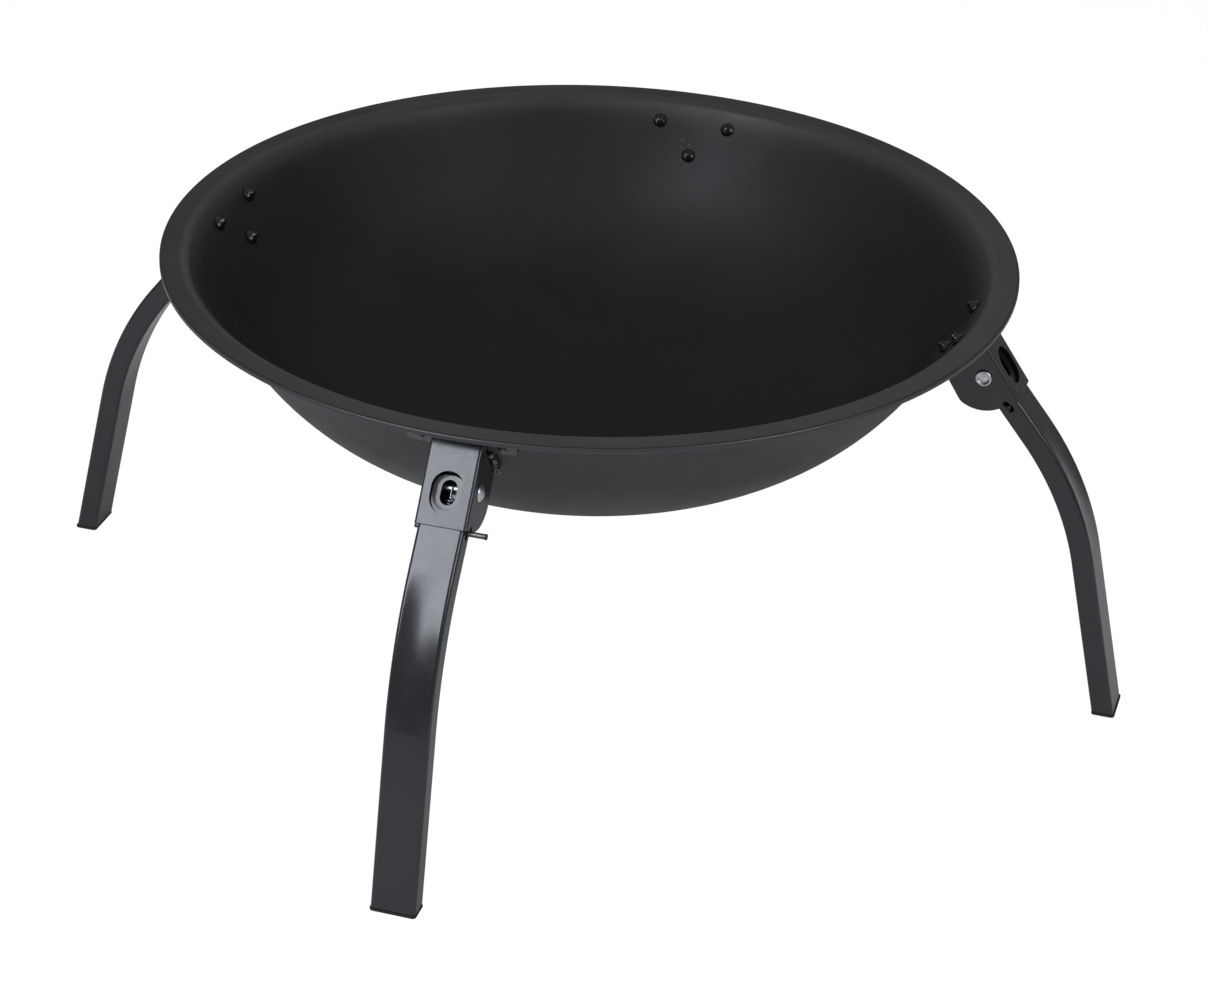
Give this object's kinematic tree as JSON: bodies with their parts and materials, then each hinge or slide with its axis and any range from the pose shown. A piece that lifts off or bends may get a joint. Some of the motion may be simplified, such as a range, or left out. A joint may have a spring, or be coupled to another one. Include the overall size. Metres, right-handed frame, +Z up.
{
  "type": "folding-leg fire bowl",
  "caption": "Round black steel fire bowl with a flat rim, on folding bent tube legs that hinge in bolted brackets and lock with spring pins.",
  "frame": {"origin": "on the floor under the bowl's axis", "axes": "+Z up, a leg on each of -Y (front), +X (right), +Y (back) and -X (left)"},
  "size_m": [0.7798, 0.7798, 0.2875],
  "materials": {
    "heatproof_black_paint": "matte heat-resistant black on pressed sheet steel",
    "grey_black_coating": "satin grey-black coating on bent sheet steel",
    "leg_coating": "satin grey-black coating on rectangular steel tube",
    "black_plastic": "matte black plastic",
    "bright_zinc": "bright zinc plate",
    "dull_steel": "dull grey plated steel",
    "spring_steel": "bare spring steel",
    "black_oxide": "glossy black oxide on steel"
  },
  "bodies": {
    "bowl": {"bowl": "heatproof_black_paint", "mount_plate_front": "grey_black_coating", "bracket_front": "grey_black_coating", "pivot_rivet_front": "bright_zinc", "bolt_1_front": "black_oxide", "bolt_2_front": "black_oxide", "bolt_3_front": "black_oxide", "mount_plate_right": "grey_black_coating", "bracket_right": "grey_black_coating", "pivot_rivet_right": "bright_zinc", "bolt_1_right": "black_oxide", "bolt_2_right": "black_oxide", "bolt_3_right": "black_oxide", "mount_plate_back": "grey_black_coating", "bracket_back": "grey_black_coating", "pivot_rivet_back": "bright_zinc", "bolt_1_back": "black_oxide", "bolt_2_back": "black_oxide", "bolt_3_back": "black_oxide", "mount_plate_left": "grey_black_coating", "bracket_left": "grey_black_coating", "pivot_rivet_left": "bright_zinc", "bolt_1_left": "black_oxide", "bolt_2_left": "black_oxide", "bolt_3_left": "black_oxide"},
    "leg_front": {"leg_tube_front": "leg_coating", "foot_plug_front": "black_plastic", "lock_spring_front": "spring_steel"},
    "pin_front": {"lock_pin_front": "dull_steel"},
    "leg_right": {"leg_tube_right": "leg_coating", "foot_plug_right": "black_plastic", "lock_spring_right": "spring_steel"},
    "pin_right": {"lock_pin_right": "dull_steel"},
    "leg_back": {"leg_tube_back": "leg_coating", "foot_plug_back": "black_plastic", "lock_spring_back": "spring_steel"},
    "pin_back": {"lock_pin_back": "dull_steel"},
    "leg_left": {"leg_tube_left": "leg_coating", "foot_plug_left": "black_plastic", "lock_spring_left": "spring_steel"},
    "pin_left": {"lock_pin_left": "dull_steel"}
  },
  "joints": [
    {"name": "leg_fold_front", "type": "hinge", "parent": "bowl", "child": "leg_front", "pos_m": [0, -0.2782, 0.2444], "axis": [1, 0, 0], "range_deg": [0, 80]},
    {"name": "pin_pull_front", "type": "slide", "parent": "leg_front", "child": "pin_front", "axis": [0, -0.6266, -0.7793], "range_m": [-0.0028, 0.0024], "stiffness_N_per_m": 200, "springref_m": -0.006, "deforming": ["lock_spring_front"]},
    {"name": "leg_fold_right", "type": "hinge", "parent": "bowl", "child": "leg_right", "pos_m": [0.2782, 0, 0.2444], "axis": [0, 1, 0], "range_deg": [0, 80]},
    {"name": "pin_pull_right", "type": "slide", "parent": "leg_right", "child": "pin_right", "axis": [0.6266, 0, -0.7793], "range_m": [-0.0028, 0.0024], "stiffness_N_per_m": 200, "springref_m": -0.006, "deforming": ["lock_spring_right"]},
    {"name": "leg_fold_back", "type": "hinge", "parent": "bowl", "child": "leg_back", "pos_m": [0, 0.2782, 0.2444], "axis": [-1, 0, 0], "range_deg": [0, 80]},
    {"name": "pin_pull_back", "type": "slide", "parent": "leg_back", "child": "pin_back", "axis": [0, 0.6266, -0.7793], "range_m": [-0.0028, 0.0024], "stiffness_N_per_m": 200, "springref_m": -0.006, "deforming": ["lock_spring_back"]},
    {"name": "leg_fold_left", "type": "hinge", "parent": "bowl", "child": "leg_left", "pos_m": [-0.2782, 0, 0.2444], "axis": [0, -1, 0], "range_deg": [0, 80]},
    {"name": "pin_pull_left", "type": "slide", "parent": "leg_left", "child": "pin_left", "axis": [-0.6266, 0, -0.7793], "range_m": [-0.0028, 0.0024], "stiffness_N_per_m": 200, "springref_m": -0.006, "deforming": ["lock_spring_left"]}
  ]
}
